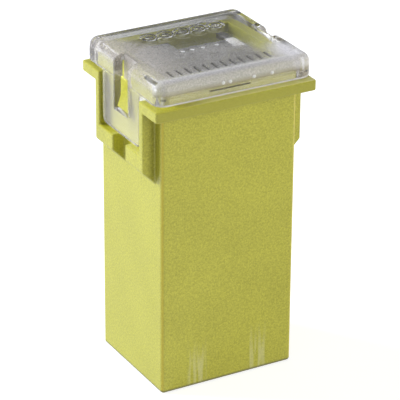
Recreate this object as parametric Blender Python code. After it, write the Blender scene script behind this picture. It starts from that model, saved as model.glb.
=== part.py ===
"""A female cartridge fuse: a moulded housing, a clear clip-on cover, a stamped element and its tin chip.

Metres, +Z up. The origin is the middle of the bottom face. X runs along the long side, and the two
ends of the housing, where the cover clips on, face -X and +X.
"""

import math

import bmesh
import bpy
from mathutils import Vector

MM = 0.001

# Male tabs that the fuse plugs onto, and the mouths that let them in
TAB_THICKNESS = 0.8 * MM
TAB_WIDTH = 8.0 * MM
TAB_PITCH = 7.3 * MM
TAB_PLAY = 0.3 * MM
MOUTH_CHAMFER = 0.7 * MM

# Room left between neighbouring pieces
SEAT_GAP = 0.3 * MM
SIDE_GAP = 0.3 * MM

# Stamped element
SHEET = 0.5 * MM
TERMINAL_HEIGHT = 10.0 * MM
TERMINAL_SIDE_ROOM = 0.5 * MM
CONTACT_ROOM = 0.05 * MM
FOLD_RADIUS = 0.55 * MM
LIP_SEAM = 3.4 * MM
SHOULDER = 2.0 * MM
NECK_FRONT = 1.4 * MM
NECK_BACK = 3.0 * MM
ARCH_RADIUS = 1.2 * MM
TONGUE_ROOM = 1.7 * MM
TONGUE_WIDTH = 3.2 * MM
TONGUE_LENGTH = 7.4 * MM
TONGUE_TIP = 1.2 * MM
TONGUE_SLIT = 0.4 * MM
TONGUE_BOW = 1.15 * MM
TONGUE_WAVE = 1.3

# The link that melts, cut from the bridge under the cover
LINK_LEFT = 1.9 * MM
LINK_RIGHT = 3.7 * MM
LINK_BACK = 0.9 * MM
LINK_HOLE = 0.7 * MM
LINK_HOLE_PITCH = 1.2 * MM
LINK_HOLE_INSET = 0.7 * MM

# Claws under the link, and the tin chip that they hold
CLAW_WIDTH = 0.9 * MM
CLAW_PITCH = 1.9 * MM
CLAW_TIP = 0.45 * MM
CLAW_RADIUS = 0.45 * MM
CHIP_HEIGHT = 0.8 * MM
CHIP_LENGTH = 3.4 * MM
CHIP_ROUNDING = 0.2 * MM

# Housing body
RIM_TOP = 32.2 * MM
WALL = 1.2 * MM
FLOOR = 1.6 * MM
PARTITION = 1.6 * MM
CHAMBER_DEPTH = 8.2 * MM
CORNER_RADIUS = 0.4 * MM
FOOT_ROUNDING = 0.3 * MM
HOUSING_EDGE = 0.15 * MM

# Ribs that hold the terminals upright
OUTER_RIB = 0.35 * MM
RIB_WIDTH = 0.9 * MM
RIB_PITCH = 5.0 * MM
RIB_HEIGHT = 11.0 * MM

# Rim round the mouth, and the collar inside the cover
RIM_THICKNESS = 1.15 * MM
RIM_OVERHANG_SIDES = 1.45 * MM
RIM_CORNER_RADIUS = 0.25 * MM
COLLAR_HEIGHT = 1.7 * MM
COLLAR_RADIUS = 0.5 * MM

# End pads that guard the clips
PAD_CHEEK = 0.85 * MM
PAD_HEIGHT = 7.5 * MM
PAD_SHELF = 1.7 * MM
PAD_NOTCH_WIDTH = 2.7 * MM

# Clear cover
COVER_HEIGHT = 2.45 * MM
COVER_INSET_ENDS = 0.25 * MM
COVER_INSET_SIDES = 0.25 * MM
COVER_WALL = 1.0 * MM
COVER_TOP = 0.75 * MM
COVER_CORNER_RADIUS = 1.2 * MM
COVER_ROUNDING = 0.9 * MM
COVER_EDGE = 0.12 * MM

# Clips of the cover, their windows, and the catches that stand in them
CLIP_WIDTH = 7.9 * MM
CLIP_THICKNESS = 0.85 * MM
CLIP_CORNER_RADIUS = 0.7 * MM
CLIP_END_GAP = 0.45 * MM
CLIP_BAR = 2.4 * MM
WINDOW_WIDTH = 2.86 * MM
WINDOW_REACH = 0.3 * MM
CATCH_HEIGHT = 2.5 * MM
CATCH_PROUD = 0.95 * MM
CATCH_LIP = 0.1 * MM
CATCH_EDGE = 0.08 * MM

# How finely round forms are drawn
CORNER_STEPS = 5
ROUNDING_STEPS = 5
HOLE_STEPS = 14
FOLD_STEPS = 4
ARCH_STEPS = 6
TONGUE_STEPS = 9
EDGE_STEPS = 2
SMOOTH_ANGLE = math.radians(35)

# A little overlap, so that joined and cut shapes never share a face
BITE = 0.2 * MM

# Points of the sheet closer than this are one point
WELD = 0.001 * MM

# Finishes
YELLOW = (0.47, 0.43, 0.045)
CLEAR = (0.86, 0.87, 0.85)
TINNED = (0.62, 0.62, 0.60)
TIN = (0.70, 0.70, 0.69)

# Terminals: the lips lie beside the tab, and the plate with the tongue lies further out
TAB_X = TAB_PITCH / 2
LIP_X = TAB_X - TAB_THICKNESS / 2 - CONTACT_ROOM - SHEET / 2
PLATE_X = TAB_X + TONGUE_ROOM + SHEET / 2
TERMINAL_DEEP = PLATE_X - LIP_X
TERMINAL_Y = TAB_WIDTH / 2 + TERMINAL_SIDE_ROOM + SHEET / 2
TERMINAL_BOTTOM = FLOOR + SEAT_GAP

# Housing, sized round the terminals
CAVITY_X = PLATE_X + SHEET / 2 + SIDE_GAP + OUTER_RIB
CAVITY_Y = TERMINAL_Y + SHEET / 2 + SIDE_GAP
END_X = CAVITY_X + WALL
SIDE_Y = CAVITY_Y + WALL
PARTITION_TOP = RIM_TOP - CHAMBER_DEPTH

# Cover, sized round the clips
CLIP_INNER_X = END_X + SIDE_GAP
COVER_X = CLIP_INNER_X + CLIP_THICKNESS
RIM_X = COVER_X + COVER_INSET_ENDS
RIM_Y = SIDE_Y + RIM_OVERHANG_SIDES
COVER_Y = RIM_Y - COVER_INSET_SIDES
COLLAR_X = COVER_X - COVER_WALL - SIDE_GAP
COLLAR_Y = COVER_Y - COVER_WALL - SIDE_GAP
COVER_BOTTOM = RIM_TOP + SEAT_GAP
COVER_SUMMIT = COVER_BOTTOM + COVER_HEIGHT
COVER_UNDERSIDE = COVER_SUMMIT - COVER_TOP

# Heights down the ends: rim, pad, shelf, clip, window and catch
RIM_BOTTOM = RIM_TOP - RIM_THICKNESS
RIM_MIDDLE = RIM_TOP - RIM_THICKNESS / 2
PAD_BOTTOM = RIM_TOP - PAD_HEIGHT
SHELF_TOP = PAD_BOTTOM + PAD_SHELF
CLIP_BOTTOM = SHELF_TOP + CLIP_END_GAP
WINDOW_BOTTOM = CLIP_BOTTOM + CLIP_BAR
CATCH_BOTTOM = WINDOW_BOTTOM + SEAT_GAP
RECESS_Y = CLIP_WIDTH / 2 + SIDE_GAP

# Bridge, link and chip: the chip keeps a gap to the link above it and to the claws round it
ARCH_Z = COVER_UNDERSIDE - SEAT_GAP - SHEET / 2
LINK_FRONT = -NECK_FRONT
CHIP_TOP = ARCH_Z - SHEET / 2 - SEAT_GAP
CHIP_X = (LINK_RIGHT - LINK_LEFT) / 2
CHIP_SIDE = CLAW_RADIUS - SHEET / 2 - SIDE_GAP
CLAW_DROP = SHEET + 2 * SEAT_GAP + CHIP_HEIGHT


class FoldLine:
    """A line of straight runs with its corners rounded, read by the length along it."""

    def __init__(self, corners, radius):
        self.pieces = []
        self.bends = []
        self.length = 0.0
        start = Vector(corners[0])
        for before, corner, after in zip(corners, corners[1:], corners[2:]):
            start = self.add_corner(start, Vector(before), Vector(corner), Vector(after), radius)
        self.add_run(start, Vector(corners[-1]))

    def add_run(self, start, end):
        self.pieces.append(("run", self.length, (end - start).length, start, (end - start).normalized()))
        self.length += (end - start).length

    def add_corner(self, start, before, corner, after, radius):
        along = (corner - before).normalized()
        onward = (after - corner).normalized()
        turn = along.cross(onward)
        angle = along.angle(onward)
        back = radius * math.tan(angle / 2)
        self.add_run(start, corner - along * back)
        side = Vector((-along.y, along.x)) * math.copysign(1.0, turn)
        centre = corner - along * back + side * radius
        arc = radius * angle
        self.pieces.append(("arc", self.length, arc, centre, (-side, radius, math.copysign(angle, turn))))
        self.bends.append((self.length, self.length + arc))
        self.length += arc
        return corner + onward * back

    def place(self, along, aside):
        """The point at this length, moved to the left of the line by aside."""
        kind, begin, span, origin, rest = self.pieces[0]
        for piece in self.pieces:
            if piece[1] <= along:
                kind, begin, span, origin, rest = piece
        if kind == "run":
            return origin + rest * (along - begin) + Vector((-rest.y, rest.x)) * aside
        spoke, radius, angle = rest
        turned = rotated(spoke, angle * (along - begin) / span)
        return origin + turned * (radius - aside * math.copysign(1.0, angle))


def rotated(vector, angle):
    cos, sin = math.cos(angle), math.sin(angle)
    return Vector((vector.x * cos - vector.y * sin, vector.x * sin + vector.y * cos))


def clear_scene():
    for old in list(bpy.data.objects):
        bpy.data.objects.remove(old)


def material(name, colour, roughness, metallic=0.0, transmission=0.0):
    made = bpy.data.materials.new(name)
    made.use_nodes = True
    shader = made.node_tree.nodes["Principled BSDF"]
    shader.inputs["Base Color"].default_value = (*colour, 1.0)
    shader.inputs["Roughness"].default_value = roughness
    shader.inputs["Metallic"].default_value = metallic
    shader.inputs["Transmission Weight"].default_value = transmission
    made.diffuse_color = (*colour, 1.0)
    return made


def add_object(name, mesh_edit):
    """An object made from a bmesh, with its faces pointing out."""
    bmesh.ops.recalc_face_normals(mesh_edit, faces=mesh_edit.faces)
    mesh = bpy.data.meshes.new(name)
    mesh_edit.to_mesh(mesh)
    mesh_edit.free()
    made = bpy.data.objects.new(name, mesh)
    bpy.context.scene.collection.objects.link(made)
    return made


def finish(target, look):
    target.data.materials.append(look)
    target.data.shade_smooth()
    target.data.set_sharp_from_angle(angle=SMOOTH_ANGLE)


def boolean(target, tool, operation):
    """Joins or cuts with a tool, which stays in the file as a wire guide."""
    tool.hide_render = True
    tool.display_type = "WIRE"
    modifier = target.modifiers.new(tool.name, "BOOLEAN")
    modifier.operation = operation
    modifier.solver = "EXACT"
    modifier.object = tool


def join(target, tool):
    boolean(target, tool, "UNION")


def cut(target, tool):
    boolean(target, tool, "DIFFERENCE")


def round_edges(target, radius):
    """Rounds every sharp edge that the object has so far."""
    modifier = target.modifiers.new("edges", "BEVEL")
    modifier.width = radius
    modifier.segments = EDGE_STEPS
    modifier.limit_method = "ANGLE"
    modifier.angle_limit = SMOOTH_ANGLE
    modifier.use_clamp_overlap = False


def rounded_rectangle(half_x, half_y, radius):
    """Corner points of a rectangle with round corners, counter-clockwise."""
    points = []
    for quarter, (sx, sy) in enumerate(((1, 1), (-1, 1), (-1, -1), (1, -1))):
        for step in range(CORNER_STEPS + 1):
            angle = math.pi / 2 * (quarter + step / CORNER_STEPS)
            x = sx * (half_x - radius) + radius * math.cos(angle)
            y = sy * (half_y - radius) + radius * math.sin(angle)
            points.append((x, y))
    return points


def loft(name, sections):
    """A closed solid through outlines of the same count, each at its own height."""
    mesh_edit = bmesh.new()
    rings = []
    for outline, z in sections:
        rings.append([mesh_edit.verts.new((x, y, z)) for x, y in outline])
    for low, high in zip(rings, rings[1:]):
        for here in range(len(low)):
            there = (here + 1) % len(low)
            mesh_edit.faces.new((low[here], low[there], high[there], high[here]))
    mesh_edit.faces.new(list(reversed(rings[0])))
    mesh_edit.faces.new(rings[-1])
    return add_object(name, mesh_edit)


def prism(name, outline, axis, low, high):
    """An outline pushed along one axis. Its two numbers are the other two axes, in their order."""
    mesh_edit = bmesh.new()
    lift = {
        "X": lambda u, v, w: (w, u, v),
        "Y": lambda u, v, w: (u, w, v),
        "Z": lambda u, v, w: (u, v, w),
    }[axis]
    near = [mesh_edit.verts.new(lift(u, v, low)) for u, v in outline]
    far = [mesh_edit.verts.new(lift(u, v, high)) for u, v in outline]
    for here in range(len(near)):
        there = (here + 1) % len(near)
        mesh_edit.faces.new((near[here], near[there], far[there], far[here]))
    mesh_edit.faces.new(near)
    mesh_edit.faces.new(far)
    return add_object(name, mesh_edit)


def box(name, low, high):
    outline = [(low[0], low[1]), (high[0], low[1]), (high[0], high[1]), (low[0], high[1])]
    return prism(name, outline, "Z", low[2], high[2])


def both_ends(low, high):
    """The same span of X at both ends of the fuse, as (side, low, high)."""
    return (("left", -high, -low), ("right", low, high))


def body():
    """The square body, with round corners and a round foot."""
    sections = []
    for step in range(ROUNDING_STEPS + 1):
        angle = math.pi / 2 * step / ROUNDING_STEPS
        inset = FOOT_ROUNDING * (1 - math.sin(angle))
        outline = rounded_rectangle(END_X - inset, SIDE_Y - inset, CORNER_RADIUS - inset)
        sections.append((outline, FOOT_ROUNDING * (1 - math.cos(angle))))
    sections.append((rounded_rectangle(END_X, SIDE_Y, CORNER_RADIUS), RIM_MIDDLE))
    return loft("housing", sections)


def rim():
    outline = rounded_rectangle(RIM_X, RIM_Y, RIM_CORNER_RADIUS)
    return prism("rim", outline, "Z", RIM_BOTTOM, RIM_TOP)


def collar():
    outline = rounded_rectangle(COLLAR_X, COLLAR_Y, COLLAR_RADIUS)
    return prism("collar", outline, "Z", RIM_MIDDLE, RIM_TOP + COLLAR_HEIGHT)


def add_pads(housing):
    """A thick pad at each end, level with the rim and chamfered back to the body below."""
    inner = END_X - BITE
    half = RECESS_Y + PAD_CHEEK
    for side, sign in (("left", -1), ("right", 1)):
        outline = [
            (sign * inner, PAD_BOTTOM - (RIM_X - inner)),
            (sign * RIM_X, PAD_BOTTOM),
            (sign * RIM_X, RIM_MIDDLE),
            (sign * inner, RIM_MIDDLE),
        ]
        join(housing, prism(f"pad_{side}", outline, "Y", -half, half))


def cut_clip_recesses(housing):
    """The slot for each clip, down to a shelf, and the notch through that shelf."""
    half = PAD_NOTCH_WIDTH / 2
    chamfer_end = PAD_BOTTOM - (RIM_X - END_X)
    for side, low, high in both_ends(END_X, RIM_X + BITE):
        cut(housing, box(f"recess_{side}", (low, -RECESS_Y, SHELF_TOP), (high, RECESS_Y, RIM_TOP + BITE)))
        cut(housing, box(f"notch_{side}", (low, -half, chamfer_end - BITE), (high, half, SHELF_TOP + BITE)))


def add_catches(housing):
    """The wedge that each clip rides over: thin at the top, with a square lower face."""
    half = WINDOW_WIDTH / 2 - SIDE_GAP
    inner = END_X - BITE
    top = CATCH_BOTTOM + CATCH_HEIGHT
    for side, sign in (("left", -1), ("right", 1)):
        outline = [
            (sign * inner, CATCH_BOTTOM),
            (sign * (END_X + CATCH_PROUD), CATCH_BOTTOM),
            (sign * (END_X + CATCH_LIP), top),
            (sign * inner, top),
        ]
        catch = prism(f"catch_{side}", outline, "Y", -half, half)
        round_edges(catch, CATCH_EDGE)
        join(housing, catch)


def cut_rooms(housing):
    """One room for each terminal, and the open chamber over the partition between them."""
    top = RIM_TOP + COLLAR_HEIGHT + BITE
    for side, low, high in both_ends(PARTITION / 2, CAVITY_X):
        cut(housing, box(f"room_{side}", (low, -CAVITY_Y, FLOOR), (high, CAVITY_Y, top)))
    middle = PARTITION / 2 + BITE
    cut(housing, box("chamber", (-middle, -CAVITY_Y, PARTITION_TOP), (middle, CAVITY_Y, top)))


def add_ribs(housing):
    """Four upright ribs in each room, which steady the terminal from both sides."""
    outer_face = PLATE_X + SHEET / 2 + SIDE_GAP
    inner_face = LIP_X - SHEET / 2 - SIDE_GAP
    spans = {"outer": (outer_face, CAVITY_X + BITE), "inner": (PARTITION / 2 - BITE, inner_face)}
    rows = {"front": -RIB_PITCH / 2, "back": RIB_PITCH / 2}
    for kind, span in spans.items():
        for side, low, high in both_ends(*span):
            for row, y in rows.items():
                near = (low, y - RIB_WIDTH / 2, FLOOR - BITE)
                far = (high, y + RIB_WIDTH / 2, FLOOR + RIB_HEIGHT)
                join(housing, box(f"rib_{kind}_{side}_{row}", near, far))


def cut_mouths(housing):
    """The slot in the floor that lets each tab in, flared at the outside to guide it."""
    half_x = TAB_THICKNESS / 2 + TAB_PLAY
    half_y = TAB_WIDTH / 2 + TAB_PLAY
    for side, sign in (("left", -1), ("right", 1)):
        sections = []
        heights = ((-BITE, MOUTH_CHAMFER + BITE), (MOUTH_CHAMFER, 0.0), (FLOOR + BITE, 0.0))
        for z, flare in heights:
            x_low, x_high = sign * TAB_X - half_x - flare, sign * TAB_X + half_x + flare
            y = half_y + flare
            sections.append(([(x_low, -y), (x_high, -y), (x_high, y), (x_low, y)], z))
        cut(housing, loft(f"mouth_{side}", sections))


def build_housing():
    housing = body()
    join(housing, rim())
    add_pads(housing)
    cut_clip_recesses(housing)
    round_edges(housing, HOUSING_EDGE)
    add_catches(housing)
    join(housing, collar())
    cut_rooms(housing)
    add_ribs(housing)
    cut_mouths(housing)
    finish(housing, material("yellow_plastic", YELLOW, roughness=0.55))


def cap_shell():
    """The outside of the cover's cap, with a round top edge."""
    sections = [(rounded_rectangle(COVER_X, COVER_Y, COVER_CORNER_RADIUS), COVER_BOTTOM)]
    shoulder = COVER_SUMMIT - COVER_ROUNDING
    for step in range(ROUNDING_STEPS + 1):
        angle = math.pi / 2 * step / ROUNDING_STEPS
        inset = COVER_ROUNDING * (1 - math.cos(angle))
        outline = rounded_rectangle(COVER_X - inset, COVER_Y - inset, COVER_CORNER_RADIUS - inset)
        sections.append((outline, shoulder + COVER_ROUNDING * math.sin(angle)))
    return loft("cover", sections)


def clip_outline():
    """A clip from the end: straight sides and two round lower corners."""
    half = CLIP_WIDTH / 2
    radius = CLIP_CORNER_RADIUS
    top = COVER_BOTTOM + BITE
    points = [(half, top), (-half, top)]
    for sy, first in ((-1, math.pi), (1, math.pi * 1.5)):
        for step in range(CORNER_STEPS + 1):
            angle = first + math.pi / 2 * step / CORNER_STEPS
            y = sy * (half - radius) + radius * math.cos(angle)
            points.append((y, CLIP_BOTTOM + radius + radius * math.sin(angle)))
    return points


def build_cover():
    """The cap with a clip at each end, a window up through each edge, and a hollow from below."""
    cover = cap_shell()
    for side, low, high in both_ends(CLIP_INNER_X, COVER_X):
        join(cover, prism(f"clip_{side}", clip_outline(), "X", low, high))
    half = WINDOW_WIDTH / 2
    window_x = COVER_X - COVER_WALL - WINDOW_REACH
    for side, low, high in both_ends(window_x, COVER_X + BITE):
        cut(cover, box(f"window_{side}", (low, -half, WINDOW_BOTTOM), (high, half, COVER_SUMMIT + BITE)))
    round_edges(cover, COVER_EDGE)
    hollow = rounded_rectangle(COVER_X - COVER_WALL, COVER_Y - COVER_WALL, COLLAR_RADIUS + SIDE_GAP)
    cut(cover, prism("cover_hollow", hollow, "Z", COVER_BOTTOM - BITE, COVER_UNDERSIDE))
    finish(cover, material("clear_plastic", CLEAR, roughness=0.12, transmission=0.9))


def terminal_line():
    """Half of a terminal seen from below: along the plate, round the side and along the lip."""
    corners = [(0, 0), (TERMINAL_Y, 0), (TERMINAL_Y, -TERMINAL_DEEP), (LIP_SEAM / 2, -TERMINAL_DEEP)]
    return FoldLine(corners, FOLD_RADIUS)


def claw_line(edge):
    """A claw seen from the end: off the link's edge, down past the chip and in under it."""
    out = edge + CLAW_RADIUS
    corners = [(0, 0), (out, 0), (out, -CLAW_DROP), (out - CLAW_RADIUS - CLAW_TIP, -CLAW_DROP)]
    return FoldLine(corners, CLAW_RADIUS)


def edge_with_claws(spans, edge, reach):
    """Points along the link's edge that step out to reach at each claw."""
    points = []
    for low, high in spans:
        points += [(low, edge), (low, reach), (high, reach), (high, edge)]
    return points


def tongue_slit(tip, root):
    """The U-shaped cut that frees a tongue, open towards its root."""
    inner = TONGUE_WIDTH / 2
    outer = inner + TONGUE_SLIT
    before = tip - TONGUE_SLIT
    return [
        (before, -outer),
        (root, -outer),
        (root, -inner),
        (tip, -inner),
        (tip, inner),
        (root, inner),
        (root, outer),
        (before, outer),
    ]


def circle(s, y, radius):
    angles = [2 * math.pi * step / HOLE_STEPS for step in range(HOLE_STEPS)]
    return [(s + radius * math.cos(angle), y + radius * math.sin(angle)) for angle in angles]


def flat_blank(outlines):
    """A flat face with the first outline as its edge and the others as holes."""
    mesh_edit = bmesh.new()
    edges = []
    for outline in outlines:
        verts = [mesh_edit.verts.new((s, y, -SHEET / 2)) for s, y in outline]
        for here in range(len(verts)):
            edges.append(mesh_edit.edges.new((verts[here], verts[(here + 1) % len(verts)])))
    bmesh.ops.triangle_fill(mesh_edit, edges=edges, use_beauty=True)
    return mesh_edit


def thicken(mesh_edit):
    """Turns the flat face into a sheet of even thickness."""
    bmesh.ops.remove_doubles(mesh_edit, verts=mesh_edit.verts, dist=WELD)
    bmesh.ops.dissolve_degenerate(mesh_edit, edges=mesh_edit.edges, dist=WELD)
    lifted = bmesh.ops.extrude_face_region(mesh_edit, geom=list(mesh_edit.faces))
    raised = [item for item in lifted["geom"] if isinstance(item, bmesh.types.BMVert)]
    bmesh.ops.translate(mesh_edit, verts=raised, vec=(0, 0, SHEET))


def spread(span, steps):
    low, high = span
    return [low + (high - low) * step / steps for step in range(steps + 1)]


def slice_at(mesh_edit, axis, values):
    """Adds an edge loop at each value, so that the sheet can bend there."""
    for value in values:
        point = Vector(axis) * value
        everything = list(mesh_edit.verts) + list(mesh_edit.edges) + list(mesh_edit.faces)
        bmesh.ops.bisect_plane(mesh_edit, geom=everything, dist=WELD, plane_co=point, plane_no=axis)


def tongue_bow(share):
    """How far a tongue stands in at this share of its length from the root."""
    return TONGUE_BOW * (1 - math.cos(2 * math.pi * share / TONGUE_WAVE)) / 2


class Stamping:
    """The element: a flat sheet that knows where each of its points goes when it is folded."""

    def __init__(self):
        self.arch = FoldLine(
            [(-PLATE_X, TERMINAL_BOTTOM), (-PLATE_X, ARCH_Z), (PLATE_X, ARCH_Z), (PLATE_X, TERMINAL_BOTTOM)],
            ARCH_RADIUS,
        )
        self.terminal = terminal_line()
        self.back_claw = claw_line(LINK_BACK)
        self.front_claw = claw_line(-LINK_FRONT)
        self.length = self.arch.length
        self.middle = self.length / 2
        self.tongue_root = TONGUE_TIP + TONGUE_LENGTH

    def claw_spans(self):
        centres = (self.middle + CHIP_X - CLAW_PITCH / 2, self.middle + CHIP_X + CLAW_PITCH / 2)
        return [(s - CLAW_WIDTH / 2, s + CLAW_WIDTH / 2) for s in centres]

    def outline(self):
        """The edge of the flat sheet, as length along the arch and then width."""
        wing = self.terminal.length
        flat = TERMINAL_Y - FOLD_RADIUS - SHEET / 2
        shoulder = TERMINAL_HEIGHT + SHOULDER
        front = [(0, -wing), (TERMINAL_HEIGHT, -wing), (TERMINAL_HEIGHT, -flat), (shoulder, -NECK_FRONT)]
        back = [(0, wing), (TERMINAL_HEIGHT, wing), (TERMINAL_HEIGHT, flat), (shoulder, NECK_BACK)]
        link_low, link_high = self.middle - LINK_LEFT, self.middle + LINK_RIGHT
        gap = [(link_low, NECK_BACK), (link_low, LINK_BACK)]
        gap += edge_with_claws(self.claw_spans(), LINK_BACK, self.back_claw.length)
        gap += [(link_high, LINK_BACK), (link_high, NECK_BACK)]
        claws = edge_with_claws(self.claw_spans(), LINK_FRONT, -self.front_claw.length)
        near_side = front + claws + self.mirrored(front)
        far_side = back + gap + self.mirrored(back)
        return near_side + far_side[::-1]

    def mirrored(self, points):
        return [(self.length - s, y) for s, y in reversed(points)]

    def holes(self):
        """The slit round each tongue, and two pairs of holes that leave the link narrow."""
        slit = tongue_slit(TONGUE_TIP, self.tongue_root)
        found = [slit, self.mirrored(slit)]
        centre = (LINK_FRONT + LINK_BACK) / 2
        for x in (-LINK_LEFT + LINK_HOLE_INSET, LINK_RIGHT - LINK_HOLE_INSET):
            for y in (centre - LINK_HOLE_PITCH / 2, centre + LINK_HOLE_PITCH / 2):
                found.append(circle(self.middle + x, y, LINK_HOLE / 2))
        return found

    def bend_places(self):
        """Where the sheet needs edge loops: along its length, and across its width."""
        along = spread((TONGUE_TIP, self.tongue_root), TONGUE_STEPS) + [TERMINAL_HEIGHT]
        along += [self.length - s for s in along]
        for bend in self.arch.bends:
            along += spread(bend, ARCH_STEPS)
        across = []
        for bend in self.terminal.bends + self.back_claw.bends:
            across += spread(bend, FOLD_STEPS)
        for bend in self.terminal.bends + self.front_claw.bends:
            across += [-y for y in spread(bend, FOLD_STEPS)]
        return along, across

    def folded(self, s, y, height):
        """Where a point of the flat sheet goes: first its own fold, then the arch."""
        from_end = min(s, self.length - s)
        width, rise = y, height
        if from_end <= TERMINAL_HEIGHT + WELD:
            width, rise = folded_across(self.terminal, y, height)
        elif -LINK_LEFT + BITE < s - self.middle < LINK_RIGHT - BITE:
            width, rise = folded_across(self.back_claw if y > 0 else self.front_claw, y, height)
        on_tongue = TONGUE_TIP - WELD <= from_end <= self.tongue_root
        if on_tongue and abs(y) <= TONGUE_WIDTH / 2 + WELD:
            rise -= tongue_bow((self.tongue_root - from_end) / TONGUE_LENGTH)
        spot = self.arch.place(s, rise)
        return Vector((spot.x, width, spot.y))


def folded_across(line, y, height):
    placed = line.place(abs(y), height)
    return math.copysign(placed.x, y), placed.y


def build_element():
    """One stamping: cut flat, then its tongues, lips, claws and arch are folded."""
    stamping = Stamping()
    mesh_edit = flat_blank([stamping.outline()] + stamping.holes())
    along, across = stamping.bend_places()
    slice_at(mesh_edit, (1, 0, 0), along)
    slice_at(mesh_edit, (0, 1, 0), across)
    thicken(mesh_edit)
    for vert in mesh_edit.verts:
        vert.co = stamping.folded(*vert.co)
    element = add_object("fuse_element", mesh_edit)
    finish(element, material("tinned_copper", TINNED, roughness=0.28, metallic=1.0))


def build_chip():
    """The tin chip in its claws: a short bar with rounded edges."""
    low = (CHIP_X - CHIP_LENGTH / 2, LINK_FRONT - CHIP_SIDE, CHIP_TOP - CHIP_HEIGHT)
    high = (CHIP_X + CHIP_LENGTH / 2, LINK_BACK + CHIP_SIDE, CHIP_TOP)
    chip = box("tin_chip", low, high)
    round_edges(chip, CHIP_ROUNDING)
    finish(chip, material("tin", TIN, roughness=0.4, metallic=1.0))


clear_scene()
build_housing()
build_cover()
build_element()
build_chip()
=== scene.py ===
"""Dresses the cartridge fuse: grained yellow moulding, clear cover, tinned element and tin chip."""

import math

import bmesh
import bpy
from mathutils import Matrix, Vector


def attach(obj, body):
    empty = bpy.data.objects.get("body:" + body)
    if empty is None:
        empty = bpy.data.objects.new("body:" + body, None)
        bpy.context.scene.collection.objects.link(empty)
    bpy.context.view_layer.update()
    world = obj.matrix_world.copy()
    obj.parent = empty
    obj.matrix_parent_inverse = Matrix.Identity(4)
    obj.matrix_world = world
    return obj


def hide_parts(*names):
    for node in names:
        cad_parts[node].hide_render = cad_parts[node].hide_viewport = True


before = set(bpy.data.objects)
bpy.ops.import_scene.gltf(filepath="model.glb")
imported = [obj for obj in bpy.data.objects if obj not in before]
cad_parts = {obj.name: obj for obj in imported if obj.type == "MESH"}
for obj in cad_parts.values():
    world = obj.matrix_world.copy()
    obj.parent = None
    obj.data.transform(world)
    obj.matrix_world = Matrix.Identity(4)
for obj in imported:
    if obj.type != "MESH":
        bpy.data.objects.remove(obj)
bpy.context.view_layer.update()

MM = 0.001
WHITE = (1.0, 1.0, 1.0)
BLACK = (0.0, 0.0, 0.0)

# Camera: a long lens, in degrees, metres and the picture's pixels
IMAGE_WIDTH = 400
CAMERA_AZIMUTH = 29.392
CAMERA_ELEVATION = 25.357
CAMERA_ROLL = 0.409
CAMERA_DISTANCE = 0.253304
CAMERA_FOCAL = 2454.879
CAMERA_NEAR = 0.01
CAMERA_FAR = 10.0
SENSOR = 36.0
AIM_HEIGHT = 17.669 * MM
AIM_ASIDE = 0.255 * MM

# Lamps: name, azimuth, elevation, distance, width, power and colour
LAMPS = (
    ("key_left", -134.0, 28.0, 0.5, 0.2, 2.85, (0.97, 1.02, 1.2)),
    ("fill_right", 38.0, 18.0, 0.6, 0.4, 1.95, (1.0, 0.99, 0.92)),
)

# Floor and sky, which look white and light the object less
FLOOR_COLOUR = (0.6, 0.6, 0.6)
FLOOR_GLOW = 0.76
FLOOR_HALF = 1.5
FLOOR_DROP = 0.02 * MM
SKY_SEEN = 1.0
SKY_LIGHT = 0.24
FIRST_BOUNCE = 0.5

# A dark card behind the object, mirrored in the back of the cover's top, with its outline in mm
CARD_AZIMUTH = 150.6
CARD_DISTANCE = 80.0 * MM
CARD_LEVEL = 0.22
CARD_OUTLINE = (
    (-90.0, 36.0),
    (90.0, 36.0),
    (90.0, 69.0),
    (11.9, 67.9),
    (9.8, 67.4),
    (7.3, 66.6),
    (3.8, 66.6),
    (-3.3, 67.8),
    (-6.6, 66.8),
    (-10.1, 66.0),
    (-90.0, 64.0),
)

# Places on the solids
BODY_X = 7.7 * MM
BODY_Y = 6.5 * MM
RIM_UNDERSIDE = 31.05 * MM
RIM_TOP = 32.2 * MM
RIM_Y = 7.95 * MM
BRIDGE_FROM = 30.0 * MM
COVER_FOOT = 32.5 * MM
COVER_TOP = 34.95 * MM
COVER_FRONT = -7.7 * MM
FLAT_X = 7.9 * MM
FLAT_Y = 6.75 * MM

# Shading of flat faces that meet a rounded edge
SMOOTH_ANGLE = math.radians(35)
FLAT_WEIGHT = 90

# Bars sunk in a row into the front of the cover's top
WELD = 0.001 * MM
BAR_COUNT = 12
BAR_FROM = -6.3 * MM
BAR_PITCH = 1.0 * MM
BAR_FRONT = -6.5 * MM
BAR_BACK = -4.8 * MM
BAR_MIDDLE = (BAR_FRONT + BAR_BACK) / 2
BAR_WIDTH = 0.36 * MM
BAR_DEPTH = 0.22 * MM

# Dimples sunk in a row into the back of the top, with a groove round each
DIMPLE_COUNT = 5
DIMPLE_FROM = -3.5 * MM
DIMPLE_PITCH = 1.9 * MM
DIMPLE_Y = 3.9 * MM
DIMPLE_RADIUS = 0.5 * MM
DIMPLE_DEPTH = 0.34 * MM
BALL_AROUND = 32
BALL_UP = 20
GROOVE_RADIUS = 0.82 * MM
GROOVE_HALF = 0.19 * MM
GROOVE_TURNS = 40
GROOVE_SIDES = 10

# White dots, painted white as glints: a row sunk into the middle of the top, and a row of beads on the
# front wall
DOT_RADIUS = 0.2 * MM
DOT_LIFT = 0.06 * MM
DOT_Y = -0.95 * MM
DOT_SPREAD = (0.16 * MM, 0.26 * MM)
DOTS_MIDDLE = (-2.35 * MM, -1.25 * MM, -0.05 * MM, 1.55 * MM)
DOTS_FRONT = (-1.5 * MM, -0.7 * MM, 2.0 * MM, 4.05 * MM)
BEAD_RADIUS = 0.17 * MM
BEAD_Y = -7.62 * MM
BEAD_Z = 33.87 * MM
BEAD_AROUND = 16
BEAD_UP = 10

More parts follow.
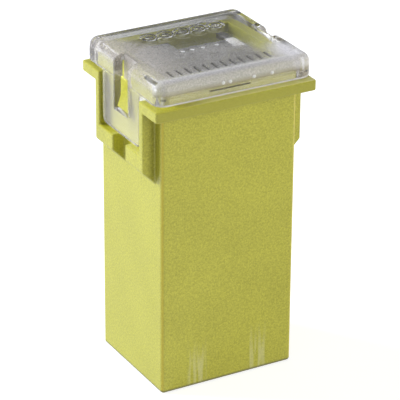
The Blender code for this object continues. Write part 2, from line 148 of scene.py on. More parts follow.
# A thin slit in the front wall, and a thin pane across each notch in the cap's ends
SLIT_FROM = -3.0 * MM
SLIT_TO = 1.6 * MM
SLIT_Z = 33.25 * MM
SLIT_HEIGHT = 0.13 * MM
SLIT_DEPTH = 0.25 * MM
PANE_X = 7.66 * MM
PANE_HALF = 1.36 * MM
PANE_THICK = 0.12 * MM
PANE_FROM = 32.3 * MM
PANE_TO = 34.9 * MM

# Below, colours are linear, a pair is a change's start and end, and a noise is scale, detail, roughness

# Yellow moulding
YELLOW = (0.675, 0.65, 0.06)
# The deep tone of the specks, also the painted shade on the rim's outer faces
YELLOW_DEEP_TONE_AND_SHADE = (0.37, 0.35, 0.012)
YELLOW_PALE = (0.82, 0.8, 0.42)
# Painted shade: the warmer yellow of shaded corners
YELLOW_WARM_SHADE = (0.85, 0.66, 0.02)
# Painted shadow: the dark contact line round the foot
YELLOW_CONTACT_SHADOW = (0.08, 0.075, 0.01)
# Painted light: the pale strip of the rim's top before the cap
YELLOW_LEDGE_LIGHT = (0.95, 0.92, 0.34)
CLOUD_NOISE = (160.0, 3.0, 0.5)
CLOUD_LEVELS = (0.3, 0.7)
CLOUD_SHARE = 0.2
SPECK_NOISE = (5200.0, 3.0, 0.85)
SPECK_LEVELS = (0.34, 0.66)
SPECK_SHARE = 0.8
GRAIN_NOISE = (9000.0, 3.0, 0.6)
GRAIN_LEVELS = (0.3, 0.7)
GRAIN_ROUGHNESS = (0.36, 0.5)
GRAIN_BUMP = 0.5
GRAIN_DEPTH = 0.04 * MM

# Faint pale streaks near the foot of both long sides, level with the terminals
STREAK_SHARE = 0.42
STREAK_X = 3.6 * MM
STREAK_ACROSS = (0.75 * MM, 1.25 * MM)
STREAK_UP = (1.96 * MM, 5.6 * MM)
STREAK_FACE = (6.4 * MM, 6.45 * MM)
STREAK_STRETCH = (1.0, 0.0, 0.08)
STREAK_NOISE = (3000.0, 1.0, 0.5)
STREAK_LEVELS = (0.42, 0.62)

# Painted shade: warmer corners under the rim, a dark contact shadow at the foot and a deeper rim face;
# painted light: a pale ledge before the cap
CORNER_SHADE_SHARE = 0.6
CORNER_SKIN = (0.3 * MM, 0.15 * MM)
CORNER_UP = (RIM_UNDERSIDE, RIM_UNDERSIDE + 0.1 * MM)
FOOT_SHADOW_SHARE = 0.8
FOOT_SKIN = (0.2 * MM, 0.15 * MM)
FOOT_UP = (0.22 * MM, 0.42 * MM)
RIM_SHADE_SHARE = 0.8
RIM_FACE = (RIM_Y - 0.04 * MM, RIM_Y - 0.02 * MM)
LEDGE_LIGHT_SHARE = 1.0
LEDGE_UP = (RIM_TOP - 0.03 * MM, RIM_TOP - 0.02 * MM)
LEDGE_FRONT = (-6.6 * MM, -7.0 * MM)
LEDGE_ALONG = (-6.6 * MM, -2.6 * MM)

# Clear plastic and its haze, with painted highlights on the rounded edges, painted shade in the sunk marks
# and painted white glints
CLEAR = (0.95, 0.955, 0.95)
FROST = (0.63, 0.575, 0.49)
FROST_MIDDLE = (0.29, 0.275, 0.245)
FROST_WALL = (0.38, 0.335, 0.25)
FROST_BACK = (0.27, 0.26, 0.27)
# Painted highlight: the palest haze, on the cap's rounded edges and lower edge
FROST_EDGE_HIGHLIGHT = (0.8, 0.78, 0.78)
# Painted shade: the dark tint in the sunk bars and the slit
SUNK_SHADE_DARK = (0.12, 0.12, 0.11)
# Painted glints: the white of the dots
DOT_GLINT_WHITE = (0.95, 0.95, 0.93)
COVER_GRAIN = (6000.0, 3.0, 0.6)
COVER_BUMP = 0.04

# How much of the light gets through the cover's top, its walls and its back wall
TOP_SHADE = (0.5, 0.5, 0.49)
WALL_SHADE = (0.84, 0.84, 0.82)
BACK_SHADE = (0.3, 0.3, 0.3)
SHADE_BACK = (6.8 * MM, 7.0 * MM)

# How much haze the cover has, and how uneven it is
MILK_TOP = 0.42
MILK_LIP = 0.56
MILK_WALLS = 0.17
MILK_CLEAR = 0.02
MILK_NOTCH = 0.4
UNEVEN_NOISE = (7000.0, 1.0, 0.5)
UNEVEN_LEVELS = (0.35, 0.65)
UNEVEN_WALLS = 0.12
UNEVEN_TOP = 0.4
UNEVEN_LIPS = 0.45

# The back right of the cover is clear: lines through a point, with the way to the clear side
CLEAR_LEFT = ((-6.3 * MM, 4.8 * MM), (0.79, 0.61))
CLEAR_FRONT = ((0.0, -1.1 * MM), (0.1, 0.995))
CLEAR_RIGHT = ((3.7 * MM, -1.3 * MM), (0.93, 0.36))
CLEAR_FRONT_EDGE = -5.4 * MM
CLEAR_SOFT = (-0.75 * MM, 0.75 * MM)
CLEAR_WAVE = 0.6 * MM
WAVE_NOISE = (300.0, 3.0, 0.6)

# Parts of the cover: its top and the parts beside and below the sunk marks
TOP_UP = (33.6 * MM, 34.2 * MM)
TOP_FACE = (COVER_TOP - 0.04 * MM, COVER_TOP - 0.01 * MM)
BELOW_MARKS = (COVER_TOP - 0.3 * MM, COVER_TOP - 0.2 * MM)
ROUND_X = (FLAT_X, FLAT_X + 0.05 * MM)
ROUND_Y = (FLAT_Y, FLAT_Y + 0.05 * MM)
MIDDLE_ACROSS = (3.0 * MM, 8.0 * MM)
BACK_ALONG = (-7.6 * MM, -5.6 * MM)
BACK_DEEP = (6.0 * MM, 6.8 * MM)

# The cap's lower edge and its rounded edges, painted paler as highlights: where they are and how strongly
# they show
CAP_FOOT_UP = (COVER_FOOT + 0.16 * MM, COVER_FOOT + 0.32 * MM)
CAP_FOOT_DEEP = (6.9 * MM, 7.2 * MM)
CAP_FOOT_FULL = 1.3
LIP_UP = (33.0 * MM, 33.7 * MM)
LIP_FRONT = (-6.0 * MM, -6.8 * MM)
LIP_BACK = (6.6 * MM, 7.0 * MM)
LIP_RIGHT = (4.8 * MM, 6.8 * MM)
LIP_RIGHT_FRONT = (-2.2 * MM, -4.4 * MM)
LIP_RIGHT_FULL = 1.3
LIP_CORNER = (7.2 * MM, 7.9 * MM)
LIP_CORNER_FRONT = (-4.4 * MM, -5.4 * MM)
LIP_CORNER_FULL = 1.5

# The notches in the cap's ends, and the painted shade in the sunk bars and in the slit
NOTCH_ACROSS = (PANE_HALF + 0.08 * MM, PANE_HALF + 0.1 * MM)
NOTCH_OUT = (PANE_X - PANE_THICK, PANE_X - PANE_THICK / 2)
NOTCH_UP = (PANE_FROM - 0.1 * MM, PANE_FROM - 0.05 * MM)
SUNK_SHADE_ACROSS = (1.1 * MM, 1.2 * MM)
SUNK_SHADE_TO = (COVER_TOP - 0.12 * MM, COVER_TOP - 0.03 * MM)
SUNK_SHADE_FROM = (COVER_TOP - 0.35 * MM, COVER_TOP - 0.3 * MM)
SLIT_MOUTH = (COVER_FRONT + 0.02 * MM, COVER_FRONT + 0.04 * MM)
SLIT_END = (COVER_FRONT + 0.3 * MM, COVER_FRONT + 0.31 * MM)
SLIT_LEVEL = (0.1 * MM, 0.12 * MM)

# Dull plated metal
TINNED = (0.56, 0.56, 0.585)
TINNED_ROUGHNESS = 0.2
TINNED_NOISE = (900.0, 4.0, 0.6)
TIN = (0.45, 0.45, 0.45)
TIN_ROUGHNESS = 0.42
TIN_NOISE = (1500.0, 4.0, 0.6)
METAL_LEVELS = (0.3, 0.7)
METAL_TONE = (0.88, 1.0)
METAL_SWING = 0.04
METAL_RELIEF = 0.0025 * MM

# The link in the element's bridge, painted darker as shade, whose right end rises a little and is painted
# brighter as a highlight
LINK_SHADE_DARK = (0.32, 0.32, 0.33)
LINK_HIGHLIGHT_BRIGHT = (0.97, 0.96, 0.98)
LINK_UP = (BRIDGE_FROM, BRIDGE_FROM + 0.1 * MM)
LINK_FRONT = (-1.2 * MM, -1.1 * MM)
LINK_BACK = (1.2 * MM, 1.3 * MM)
LINK_RIGHT = (3.55 * MM, 3.6 * MM)
LINK_RAMP = 0.16
LINK_RAMP_FRONT = -8.0 * MM


class Nodes:
    """Builds the node tree of a material or a world with short calls."""

    def __init__(self, owner, output):
        owner.use_nodes = True
        self.owner = owner
        self.tree = owner.node_tree
        self.tree.nodes.clear()
        self.output = self.add(output)

    def add(self, kind, inputs=None, **settings):
        node = self.tree.nodes.new("ShaderNode" + kind)
        for key, value in settings.items():
            setattr(node, key, value)
        for key, value in (inputs or {}).items():
            self.feed(node.inputs[key], value)
        return node

    def feed(self, socket, value):
        if isinstance(value, bpy.types.NodeSocket):
            self.tree.links.new(value, socket)
        elif socket.type == "RGBA":
            socket.default_value = (*value, 1.0)
        else:
            socket.default_value = value

    def math(self, operation, *values):
        return self.add("Math", dict(enumerate(values)), operation=operation).outputs[0]

    def fold(self, operation, first, *others):
        for other in others:
            first = self.math(operation, first, other)
        return first

    def product(self, *values):
        return self.fold("MULTIPLY", *values)

    def sum(self, *values):
        return self.fold("ADD", *values)

    def larger(self, *values):
        return self.fold("MAXIMUM", *values)

    def smaller(self, *values):
        return self.fold("MINIMUM", *values)

    def absolute(self, value):
        return self.math("ABSOLUTE", value)

    def spread(self, value, start, end, low, high):
        """From low to high as the value goes from start to end."""
        made = self.add("MapRange", {
            "Value": value,
            "From Min": start,
            "From Max": end,
            "To Min": low,
            "To Max": high,
        })
        return made.outputs["Result"]

    def rise(self, value, start, end, full=1.0):
        return self.spread(value, start, end, 0.0, full)

    def fall(self, value, start, end, full=1.0):
        return self.spread(value, start, end, full, 0.0)

    def between(self, share, low, high):
        return self.spread(share, 0.0, 1.0, low, high)

    def blend(self, share, first, second):
        made = self.add("Mix", {"Factor": share, "A": first, "B": second}, data_type="RGBA")
        return made.outputs["Result"]

    def mix(self, share, first, second):
        """Two shaders mixed."""
        return self.add("MixShader", {0: share, 1: first, 2: second}).outputs["Shader"]

    def looks_white(self):
        """1 where the surface is seen, mirrored or seen through glass, and 0 where it only lights."""
        path = self.add("LightPath").outputs
        seen = self.larger(path["Is Camera Ray"], path["Is Glossy Ray"], path["Is Transmission Ray"])
        return self.product(seen, self.math("LESS_THAN", path["Diffuse Depth"], FIRST_BOUNCE))

    def finish(self, shader):
        self.tree.links.new(shader, self.output.inputs["Surface"])
        return self.owner


class Surface(Nodes):
    """The nodes of a material that depends on the place on the object."""

    def __init__(self, name):
        super().__init__(bpy.data.materials.new(name), "OutputMaterial")
        self.place = self.add("TexCoord").outputs["Object"]
        axes = self.add("SeparateXYZ", {"Vector": self.place}).outputs
        self.x, self.y, self.z = axes["X"], axes["Y"], axes["Z"]

    def noise(self, scale, detail, roughness, place=None):
        made = self.add("TexNoise", {
            "Vector": place or self.place,
            "Scale": scale,
            "Detail": detail,
            "Roughness": roughness,
        })
        return made.outputs["Fac"]

    def distance(self, spot):
        made = self.add("VectorMath", {0: self.place, 1: spot}, operation="DISTANCE")
        return made.outputs["Value"]

    def bump(self, height, strength, distance):
        made = self.add("Bump", {"Strength": strength, "Distance": distance, "Height": height})
        return made.outputs["Normal"]


def streaks(nodes):
    """The pale upright streaks near the foot."""
    from_middle = nodes.absolute(nodes.sum(nodes.absolute(nodes.x), -STREAK_X))
    near = nodes.fall(from_middle, *STREAK_ACROSS)
    low = nodes.fall(nodes.z, *STREAK_UP)
    face = nodes.rise(nodes.absolute(nodes.y), *STREAK_FACE)
    stretched = nodes.add("Mapping", {"Vector": nodes.place, "Scale": STREAK_STRETCH})
    lines = nodes.noise(*STREAK_NOISE, stretched.outputs["Vector"])
    return nodes.product(near, low, face, nodes.rise(lines, *STREAK_LEVELS))


def skin(nodes, start, end):
    """The outermost layer of the body's two ends, and that of its two long sides."""
    ends = nodes.rise(nodes.absolute(nodes.x), BODY_X - start, BODY_X - end)
    sides = nodes.rise(nodes.absolute(nodes.y), BODY_Y - start, BODY_Y - end)
    return ends, sides


def corners(nodes):
    """The body's four upright edges, below the rim, where a warmer painted shade goes."""
    return nodes.product(nodes.fall(nodes.z, *CORNER_UP), *skin(nodes, *CORNER_SKIN))


def foot(nodes):
    """The line round the body's foot, where a dark contact shadow is painted."""
    return nodes.product(nodes.larger(*skin(nodes, *FOOT_SKIN)), nodes.fall(nodes.z, *FOOT_UP))


def rim_face_shade(nodes):
    """The rim's outer faces along both long sides, painted deeper as shade."""
    return nodes.rise(nodes.absolute(nodes.y), *RIM_FACE)


def ledge(nodes):
    """The strip of the rim's top in front of the cap, painted pale as if lit."""
    top = nodes.rise(nodes.z, *LEDGE_UP)
    return nodes.product(top, nodes.rise(nodes.y, *LEDGE_FRONT), nodes.rise(nodes.x, *LEDGE_ALONG))


# Pale streaks, then painted shade at the corners, the foot and the rim face, and painted light on the ledge
YELLOW_CHANGES = (
    (streaks, STREAK_SHARE, YELLOW_PALE),
    (corners, CORNER_SHADE_SHARE, YELLOW_WARM_SHADE),
    (foot, FOOT_SHADOW_SHARE, YELLOW_CONTACT_SHADOW),
    (rim_face_shade, RIM_SHADE_SHARE, YELLOW_DEEP_TONE_AND_SHADE),
    (ledge, LEDGE_LIGHT_SHARE, YELLOW_LEDGE_LIGHT),
)


def yellow_colour(nodes):
    """Yellow with faint clouds and fine specks, changed by pale streaks, painted shade and painted light
    where some places differ from the rest.
    """
    cloud = nodes.rise(nodes.noise(*CLOUD_NOISE), *CLOUD_LEVELS)
    speck = nodes.rise(nodes.noise(*SPECK_NOISE), *SPECK_LEVELS)
    tone = nodes.sum(nodes.product(cloud, CLOUD_SHARE), nodes.product(speck, SPECK_SHARE))
    colour = nodes.blend(tone, YELLOW_DEEP_TONE_AND_SHADE, YELLOW)
    for where, share, changed in YELLOW_CHANGES:
        colour = nodes.blend(nodes.product(where(nodes), share), colour, changed)
    return colour


def yellow_plastic():
    """Moulded plastic with an eroded-steel grain and a faint unevenness of colour, with painted shade and
    painted light in some places.
    """
    nodes = Surface("yellow_plastic_grained")
    grain = nodes.noise(*GRAIN_NOISE)
    shader = nodes.add("BsdfPrincipled", {
        "Base Color": yellow_colour(nodes),
        "Roughness": nodes.spread(grain, *GRAIN_LEVELS, *GRAIN_ROUGHNESS),
        "Specular IOR Level": 0.9,
        "Normal": nodes.bump(grain, GRAIN_BUMP, GRAIN_DEPTH),
    })
    return nodes.finish(shader.outputs["BSDF"])


def clear_side(nodes, line):
    """How far a place lies on the clear side of a line."""
    (from_x, from_y), (to_x, to_y) = line
    along_x = nodes.product(nodes.sum(nodes.x, -from_x), to_x)
    along_y = nodes.product(nodes.sum(nodes.y, -from_y), to_y)
    return nodes.sum(along_x, along_y)


def clear_zone(nodes):
    """How far a place lies inside the clear back right of the cover."""
    right = nodes.larger(clear_side(nodes, CLEAR_FRONT), clear_side(nodes, CLEAR_RIGHT))
    behind = nodes.sum(nodes.y, -CLEAR_FRONT_EDGE)
    return nodes.smaller(clear_side(nodes, CLEAR_LEFT), right, behind)


def frost(nodes):
    """How frosted the cover is: its front and left are, its back right and its sunk marks aren't."""
    wave = nodes.between(nodes.noise(*WAVE_NOISE), -CLEAR_WAVE, CLEAR_WAVE)
    frosted = nodes.fall(nodes.sum(clear_zone(nodes), wave), *CLEAR_SOFT)
    edges = nodes.larger(
        nodes.rise(nodes.absolute(nodes.y), *ROUND_Y),
        nodes.rise(nodes.absolute(nodes.x), *ROUND_X),
    )
    unmarked = nodes.larger(edges, nodes.rise(nodes.z, *TOP_FACE), nodes.fall(nodes.z, *BELOW_MARKS))
    return nodes.product(frosted, unmarked)


def cap_foot_highlight(nodes):
    """The lower edge of the cap's long walls, painted pale as a highlight."""
    low = nodes.fall(nodes.z, *CAP_FOOT_UP, CAP_FOOT_FULL)
    return nodes.product(low, nodes.rise(nodes.absolute(nodes.y), *CAP_FOOT_DEEP))


def lips(nodes):
    """The rounded edges of the cap, which are frosted more than the flat top between them and take a
    painted highlight.
    """
    high = nodes.rise(nodes.z, *LIP_UP)
    front = nodes.rise(nodes.y, *LIP_FRONT)
    back = nodes.rise(nodes.y, *LIP_BACK)
    right = nodes.rise(nodes.x, *LIP_RIGHT, LIP_RIGHT_FULL)
    right = nodes.product(right, nodes.rise(nodes.y, *LIP_RIGHT_FRONT))
    corner = nodes.rise(nodes.y, *LIP_CORNER_FRONT, LIP_CORNER_FULL)
    corner = nodes.product(corner, nodes.rise(nodes.x, *LIP_CORNER))
    edges = nodes.product(high, nodes.larger(front, back, right))
    return nodes.larger(edges, cap_foot_highlight(nodes), corner)


def notches(nodes):
    """The pane across each notch in the cap's ends, and the sides of the notch."""
    across = nodes.fall(nodes.absolute(nodes.y), *NOTCH_ACROSS)
    outside = nodes.rise(nodes.absolute(nodes.x), *NOTCH_OUT)
    return nodes.product(nodes.rise(nodes.z, *NOTCH_UP), across, outside)


def sunk_shade(nodes):
    """Where shade is painted dark in the sunk bars and in the slit."""
    across = nodes.fall(nodes.absolute(nodes.sum(nodes.y, -BAR_MIDDLE)), *SUNK_SHADE_ACROSS)
    bars = nodes.product(across, nodes.fall(nodes.z, *SUNK_SHADE_TO), nodes.rise(nodes.z, *SUNK_SHADE_FROM))
    level = nodes.fall(nodes.absolute(nodes.sum(nodes.z, -SLIT_Z)), *SLIT_LEVEL)
    slit = nodes.product(level, nodes.rise(nodes.y, *SLIT_MOUTH), nodes.fall(nodes.y, *SLIT_END))
    return nodes.larger(slit, bars)


def dots(nodes):
    """The small dots in front of the link and along the cap's front edge, painted white as glints."""
    spots = [(x, DOT_Y, COVER_TOP) for x in DOTS_MIDDLE]
    spots += [(x, BEAD_Y, BEAD_Z) for x in DOTS_FRONT]
    return nodes.larger(*[nodes.fall(nodes.distance(spot), *DOT_SPREAD) for spot in spots])


def haze_colour(nodes, top):
    """The haze is palest on the rounded edges, a painted highlight, darkest in the middle of the top and at
    the back, and white on the dots as painted glints.
    """
    middle = nodes.fall(nodes.absolute(nodes.x), *MIDDLE_ACROSS)
    # Painted highlight: the rounded edges of the top and the cap's lower edge
    edge = nodes.larger(nodes.product(lips(nodes), top), cap_foot_highlight(nodes))
    behind = nodes.product(nodes.rise(nodes.y, *BACK_DEEP), nodes.rise(nodes.x, *BACK_ALONG))
    colour = nodes.blend(top, FROST_WALL, FROST)
    colour = nodes.blend(nodes.product(top, middle), colour, FROST_MIDDLE)
    colour = nodes.blend(edge, colour, FROST_EDGE_HIGHLIGHT)
    colour = nodes.blend(behind, colour, FROST_BACK)
    colour = nodes.blend(notches(nodes), colour, FROST)
    # Painted glints: the dots turn white
    return nodes.blend(dots(nodes), colour, DOT_GLINT_WHITE)


def unevenness(nodes, top):
    """The haze's fine grain, around 1 and strongest on the flat top."""
    grain = nodes.spread(nodes.noise(*UNEVEN_NOISE), *UNEVEN_LEVELS, -1.0, 1.0)
    swing = nodes.between(top, UNEVEN_WALLS, UNEVEN_TOP)
    calm = nodes.between(lips(nodes), 1.0, UNEVEN_LIPS)
    return nodes.sum(nodes.product(grain, swing, calm), 1.0)


def milk(nodes, top):
    """How much haze there is in the clear plastic."""
    frosted = nodes.between(top, MILK_WALLS, MILK_TOP)
    flat = nodes.between(frost(nodes), MILK_CLEAR, frosted)
    rounded = nodes.product(lips(nodes), MILK_LIP)
    notched = nodes.product(notches(nodes), MILK_NOTCH)
    # No haze where shade is painted in the sunk bars and the slit
    unshaded = nodes.between(sunk_shade(nodes), 1.0, 0.0)
    amount = nodes.product(nodes.larger(flat, rounded, notched), unevenness(nodes, top), unshaded)
    # Full haze on the dots, which are painted white as glints
    return nodes.larger(amount, dots(nodes))


def cover_shade(nodes, top):
    """What a shadow ray sees of the cover."""
    behind = nodes.rise(nodes.y, *SHADE_BACK)
    colour = nodes.blend(behind, nodes.blend(top, WALL_SHADE, TOP_SHADE), BACK_SHADE)
    return nodes.add("BsdfTransparent", {"Color": colour}).outputs["BSDF"]


def clear_plastic():
    """Clear plastic with a fine grain and a frosted zone, which lets most light through to the inside, with
    painted shade in its sunk marks, painted highlights on its rounded edges and painted white glints.
    """
    nodes = Surface("clear_plastic_moulded")
    top = nodes.rise(nodes.z, *TOP_UP)
    normal = nodes.bump(nodes.noise(*COVER_GRAIN), COVER_BUMP, GRAIN_DEPTH)
    # The glass is tinted dark as painted shade in the sunk bars and the slit
    glass = nodes.add("BsdfPrincipled", {
        "Base Color": nodes.blend(sunk_shade(nodes), CLEAR, SUNK_SHADE_DARK),
        "Roughness": 0.03,
        "IOR": 1.5,
        "Transmission Weight": 1.0,
        "Normal": normal,
    })
    haze = nodes.add("BsdfPrincipled", {
        "Base Color": haze_colour(nodes, top),
        "Roughness": 0.3,
        "Normal": normal,
    })
    body = nodes.mix(milk(nodes, top), glass.outputs["BSDF"], haze.outputs["BSDF"])
    shadow = nodes.add("LightPath").outputs["Is Shadow Ray"]
    return nodes.finish(nodes.mix(shadow, body, cover_shade(nodes, top)))


def link_finish(nodes, colour):
    """The element's colour with the link's, painted darker as shade on the bridge and brighter as a
    highlight at the link's right end, and the rise of that end, which mirrors the sky.
    """
    high = nodes.rise(nodes.z, *LINK_UP)
    inside = nodes.product(nodes.fall(nodes.y, *LINK_BACK), nodes.rise(nodes.y, *LINK_FRONT))
    right = nodes.product(inside, nodes.rise(nodes.x, *LINK_RIGHT))
    ramp = nodes.product(nodes.sum(nodes.y, -LINK_RAMP_FRONT), LINK_RAMP)
    # Painted highlight at the link's right end, painted shade elsewhere on the bridge
    link = nodes.blend(right, LINK_SHADE_DARK, LINK_HIGHLIGHT_BRIGHT)
    return nodes.blend(high, colour, link), nodes.product(ramp, right, high)


def metal(name, colour, roughness, noise, has_link=False):
    """Dull plated metal, a little uneven in tone, gloss and height."""
    nodes = Surface(name)
    cloud = nodes.noise(*noise)
    height = nodes.product(cloud, METAL_RELIEF)
    if has_link:
        # With the link's painted shade and painted highlight
        colour, risen = link_finish(nodes, colour)
        height = nodes.sum(risen, height)
    tone = nodes.spread(cloud, *METAL_LEVELS, *METAL_TONE)
    gloss = (roughness - METAL_SWING, roughness + METAL_SWING)
    shader = nodes.add("BsdfPrincipled", {
        "Base Color": nodes.blend(tone, BLACK, colour),
        "Metallic": 1.0,
        "Roughness": nodes.spread(cloud, *METAL_LEVELS, *gloss),
        "Normal": nodes.bump(height, strength=1.0, distance=1.0),
    })
    return nodes.finish(shader.outputs["BSDF"])


def add_object(name, data):
    """A new object, linked to the scene."""
    made = bpy.data.objects.new(name, data)
    bpy.context.scene.collection.objects.link(made)
    return made


def even_shading(piece):
    """Keeps flat faces flat where they meet a rounded edge."""
    modifier = piece.modifiers.new("even_shading", "WEIGHTED_NORMAL")
    modifier.weight = FLAT_WEIGHT
    modifier.keep_sharp = True


def dress(name, material):
    """Gives a CAD node its finished material."""
    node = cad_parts[name]
    node.data.materials.clear()
    node.data.materials.append(material)
    even_shading(node)


def tool_object(name, mesh_edit):
    """A closed cutter, linked to the scene."""
    bmesh.ops.recalc_face_normals(mesh_edit, faces=mesh_edit.faces)
    mesh = bpy.data.meshes.new(name)
    mesh_edit.to_mesh(mesh)
    mesh_edit.free()
    return add_object(name, mesh)


def bar_tool(x):
    """A wedge that sinks one bar into the cover's top."""
    half = BAR_WIDTH / 2
    low, high = COVER_TOP - BAR_DEPTH, COVER_TOP + BAR_DEPTH
    mesh_edit = bmesh.new()
    ends = []
    for y, inset in ((BAR_FRONT, -half), (BAR_BACK, half)):
        points = ((x, y - inset, low), (x + BAR_WIDTH, y, high), (x - BAR_WIDTH, y, high))
        ends.append([mesh_edit.verts.new(point) for point in points])
    near, far = ends
    mesh_edit.faces.new(near)
    mesh_edit.faces.new(far)
    for here in range(len(near)):
        there = (here + 1) % len(near)
        mesh_edit.faces.new((near[here], near[there], far[there], far[here]))
    return tool_object("bar_tool", mesh_edit)


def ball_tool(radius, middle):
    """A ball that sinks one dimple into the cover."""
    mesh_edit = bmesh.new()
    bmesh.ops.create_uvsphere(mesh_edit, u_segments=BALL_AROUND, v_segments=BALL_UP, radius=radius)
    bmesh.ops.translate(mesh_edit, verts=mesh_edit.verts, vec=middle)
    return tool_object("ball_tool", mesh_edit)


def slit_tool():
    """A block that sinks a thin slit into the cap's front wall."""
    mesh_edit = bmesh.new()
    size = Matrix.Diagonal((SLIT_TO - SLIT_FROM, 2 * SLIT_DEPTH, SLIT_HEIGHT, 1.0))
    middle = Matrix.Translation(((SLIT_FROM + SLIT_TO) / 2, COVER_FRONT, SLIT_Z))
    bmesh.ops.create_cube(mesh_edit, size=1.0, matrix=middle @ size)
    return tool_object("slit_tool", mesh_edit)


def groove_section(mesh_edit, x, turn):
    """The corners of the groove's round section at one turn of its ring."""
    round_dimple = 2 * math.pi * turn / GROOVE_TURNS
    section = []
    for side in range(GROOVE_SIDES):
        round_section = 2 * math.pi * side / GROOVE_SIDES
        out = GROOVE_RADIUS + GROOVE_HALF * math.cos(round_section)
        section.append(mesh_edit.verts.new((
            x + out * math.cos(round_dimple),
            DIMPLE_Y + out * math.sin(round_dimple),
            COVER_TOP + GROOVE_HALF * math.sin(round_section),
        )))
    return section


def groove_tool(x):
    """A thin ring that sinks a groove round a dimple."""
    mesh_edit = bmesh.new()
    sections = [groove_section(mesh_edit, x, turn) for turn in range(GROOVE_TURNS)]
    for here, near in enumerate(sections):
        far = sections[(here + 1) % GROOVE_TURNS]
        for side in range(GROOVE_SIDES):
            after = (side + 1) % GROOVE_SIDES
            mesh_edit.faces.new((near[side], far[side], far[after], near[after]))
    return tool_object("groove_tool", mesh_edit)


def marking_tools():
    """The cutters for all that is sunk into the cover."""
    tools = [bar_tool(BAR_FROM + BAR_PITCH * count) for count in range(BAR_COUNT)]
    for count in range(DIMPLE_COUNT):
        x = DIMPLE_FROM + DIMPLE_PITCH * count
        middle = (x, DIMPLE_Y, COVER_TOP + DIMPLE_RADIUS - DIMPLE_DEPTH)
        tools += [ball_tool(DIMPLE_RADIUS, middle), groove_tool(x)]
    tools += [ball_tool(DOT_RADIUS, (x, DOT_Y, COVER_TOP + DOT_LIFT)) for x in DOTS_MIDDLE]
    tools.append(slit_tool())
    return tools


def plain_cover():
    """The cover's own shape, with its faces joined."""
    mesh_edit = bmesh.new()
    mesh_edit.from_mesh(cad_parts["cover"].data)
    bmesh.ops.remove_doubles(mesh_edit, verts=mesh_edit.verts, dist=WELD)
    mesh = bpy.data.meshes.new("cover_marked")
    mesh_edit.to_mesh(mesh)
    mesh_edit.free()
    return add_object("cover_marked", mesh)


def sink_marks(cover, tools):
    """Cuts the tools out of the cover, and removes them."""
    for tool in tools:
        modifier = cover.modifiers.new(tool.name, "BOOLEAN")
        modifier.operation = "DIFFERENCE"
        modifier.solver = "EXACT"
        modifier.object = tool
    bpy.context.view_layer.update()
    evaluated = cover.evaluated_get(bpy.context.evaluated_depsgraph_get())
    cut = bpy.data.meshes.new_from_object(evaluated)
    cover.modifiers.clear()
    cover.data = cut
    for tool in tools:
        bpy.data.objects.remove(tool)


def add_panes_and_beads(mesh):
    """A thin pane across the inner edge of each notch in the cap's ends, and the beads on its front."""
    mesh_edit = bmesh.new()
    mesh_edit.from_mesh(mesh)
    size = Matrix.Diagonal((PANE_THICK, 2 * PANE_HALF, PANE_TO - PANE_FROM, 1.0))
    for side in (-1, 1):
        middle = Matrix.Translation((side * PANE_X, 0.0, (PANE_FROM + PANE_TO) / 2))
        bmesh.ops.create_cube(mesh_edit, size=1.0, matrix=middle @ size)
    for x in DOTS_FRONT:
        bmesh.ops.create_uvsphere(
            mesh_edit,
            u_segments=BEAD_AROUND,
            v_segments=BEAD_UP,
            radius=BEAD_RADIUS,
            matrix=Matrix.Translation((x, BEAD_Y, BEAD_Z)),
        )
    mesh_edit.to_mesh(mesh)
    mesh_edit.free()


def marked_cover(material):
    """The cover again, with plain marks sunk into it."""
    cover = plain_cover()
    sink_marks(cover, marking_tools())
    add_panes_and_beads(cover.data)
    cover.data.materials.clear()
    cover.data.materials.append(material)
    cover.data.shade_smooth()
    cover.data.set_sharp_from_angle(angle=SMOOTH_ANGLE)
    even_shading(cover)
    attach(cover, "root")
    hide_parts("cover")


def add_camera():
    """The photo's viewpoint: a long lens, a little rolled."""
    azimuth, elevation, roll = (math.radians(a) for a in (CAMERA_AZIMUTH, CAMERA_ELEVATION, CAMERA_ROLL))
    forward = Vector((
        math.sin(azimuth) * math.cos(elevation),
        math.cos(azimuth) * math.cos(elevation),
        -math.sin(elevation),
    ))
    level = Vector((math.cos(azimuth), -math.sin(azimuth), 0.0))
    upright = level.cross(forward)
    right = level * math.cos(roll) + upright * math.sin(roll)
    up = upright * math.cos(roll) - level * math.sin(roll)
    target = Vector((0, 0, AIM_HEIGHT)) + right * AIM_ASIDE
    lens = bpy.data.cameras.new("camera")
    lens.sensor_width = SENSOR
    lens.lens = CAMERA_FOCAL / IMAGE_WIDTH * SENSOR
    lens.clip_start = CAMERA_NEAR
    lens.clip_end = CAMERA_FAR
    camera = add_object("camera", lens)
    turned = Matrix((right, up, -forward)).transposed().to_4x4()
    camera.matrix_world = Matrix.Translation(target - forward * CAMERA_DISTANCE) @ turned
    bpy.context.scene.camera = camera


def floor_material():
    """White where it is seen, and a plain pale floor where it lights the object."""
    nodes = Nodes(bpy.data.materials.new("floor_white"), "OutputMaterial")
    diffuse = nodes.add("BsdfDiffuse", {"Color": FLOOR_COLOUR}).outputs["BSDF"]
    glow = nodes.add("Emission", {"Color": WHITE, "Strength": FLOOR_GLOW}).outputs["Emission"]
    both = nodes.add("AddShader", {0: diffuse, 1: glow}).outputs["Shader"]
    return nodes.finish(nodes.mix(nodes.looks_white(), diffuse, both))


def add_floor():
    """A white floor that keeps the object's shadow."""
    mesh = bpy.data.meshes.new("floor")
    corners_xy = ((-1, -1), (1, -1), (1, 1), (-1, 1))
    points = [(FLOOR_HALF * x, FLOOR_HALF * y, 0) for x, y in corners_xy]
    mesh.from_pydata(points, [], [range(len(points))])
    floor = add_object("floor", mesh)
    floor.location.z = -FLOOR_DROP
    floor.data.materials.append(floor_material())


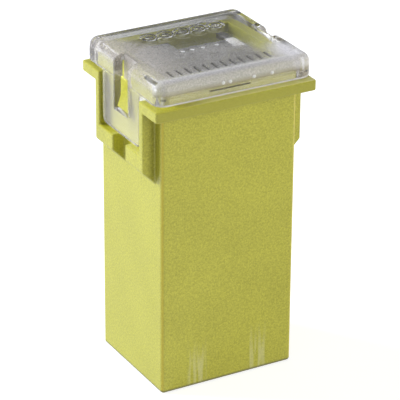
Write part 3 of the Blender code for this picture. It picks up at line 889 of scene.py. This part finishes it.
def add_world():
    """White where it is seen or mirrored, softer as a light."""
    world = bpy.data.worlds.new("studio")
    bpy.context.scene.world = world
    nodes = Nodes(world, "OutputWorld")
    soft = nodes.add("Background", {"Color": WHITE, "Strength": SKY_LIGHT}).outputs["Background"]
    white = nodes.add("Background", {"Color": WHITE, "Strength": SKY_SEEN}).outputs["Background"]
    nodes.finish(nodes.mix(nodes.looks_white(), soft, white))


def add_lamp(name, azimuth, elevation, distance, width, power, colour):
    """A square soft lamp aimed at the object. Azimuth 0 is the front, and -90 the left end."""
    turn, rise = math.radians(azimuth), math.radians(elevation)
    away = Vector((math.sin(turn) * math.cos(rise), -math.cos(turn) * math.cos(rise), math.sin(rise)))
    light = bpy.data.lights.new(name, "AREA")
    light.shape = "SQUARE"
    light.size = width
    light.energy = power
    light.color = colour
    lamp = add_object(name, light)
    lamp.visible_glossy = False
    lamp.location = Vector((0, 0, AIM_HEIGHT)) + away * distance
    lamp.rotation_mode = "QUATERNION"
    lamp.rotation_quaternion = away.to_track_quat("Z", "Y")


def add_card():
    """A dark card behind the object that only gloss sees."""
    turn = math.radians(CARD_AZIMUTH)
    away = Vector((math.sin(turn), -math.cos(turn), 0.0))
    side = Vector((away.y, -away.x, 0.0))
    middle = away * CARD_DISTANCE
    points = [middle + side * across * MM + Vector((0, 0, up * MM)) for across, up in CARD_OUTLINE]
    mesh = bpy.data.meshes.new("card")
    mesh.from_pydata(points, [], [range(len(points))])
    card = add_object("card", mesh)
    nodes = Nodes(bpy.data.materials.new("card_dark"), "OutputMaterial")
    glow = nodes.add("Emission", {"Color": WHITE, "Strength": CARD_LEVEL})
    card.data.materials.append(nodes.finish(glow.outputs["Emission"]))
    card.visible_camera = False
    card.visible_diffuse = False
    card.visible_shadow = False


tinned_sheet = metal("tinned_sheet", TINNED, TINNED_ROUGHNESS, TINNED_NOISE, has_link=True)
dress("housing", yellow_plastic())
marked_cover(clear_plastic())
dress("fuse_element", tinned_sheet)
dress("tin_chip", metal("tin_dull", TIN, TIN_ROUGHNESS, TIN_NOISE))
add_camera()
add_floor()
add_world()
add_card()
for lamp_facts in LAMPS:
    add_lamp(*lamp_facts)
bpy.context.scene.view_settings.view_transform = "Standard"
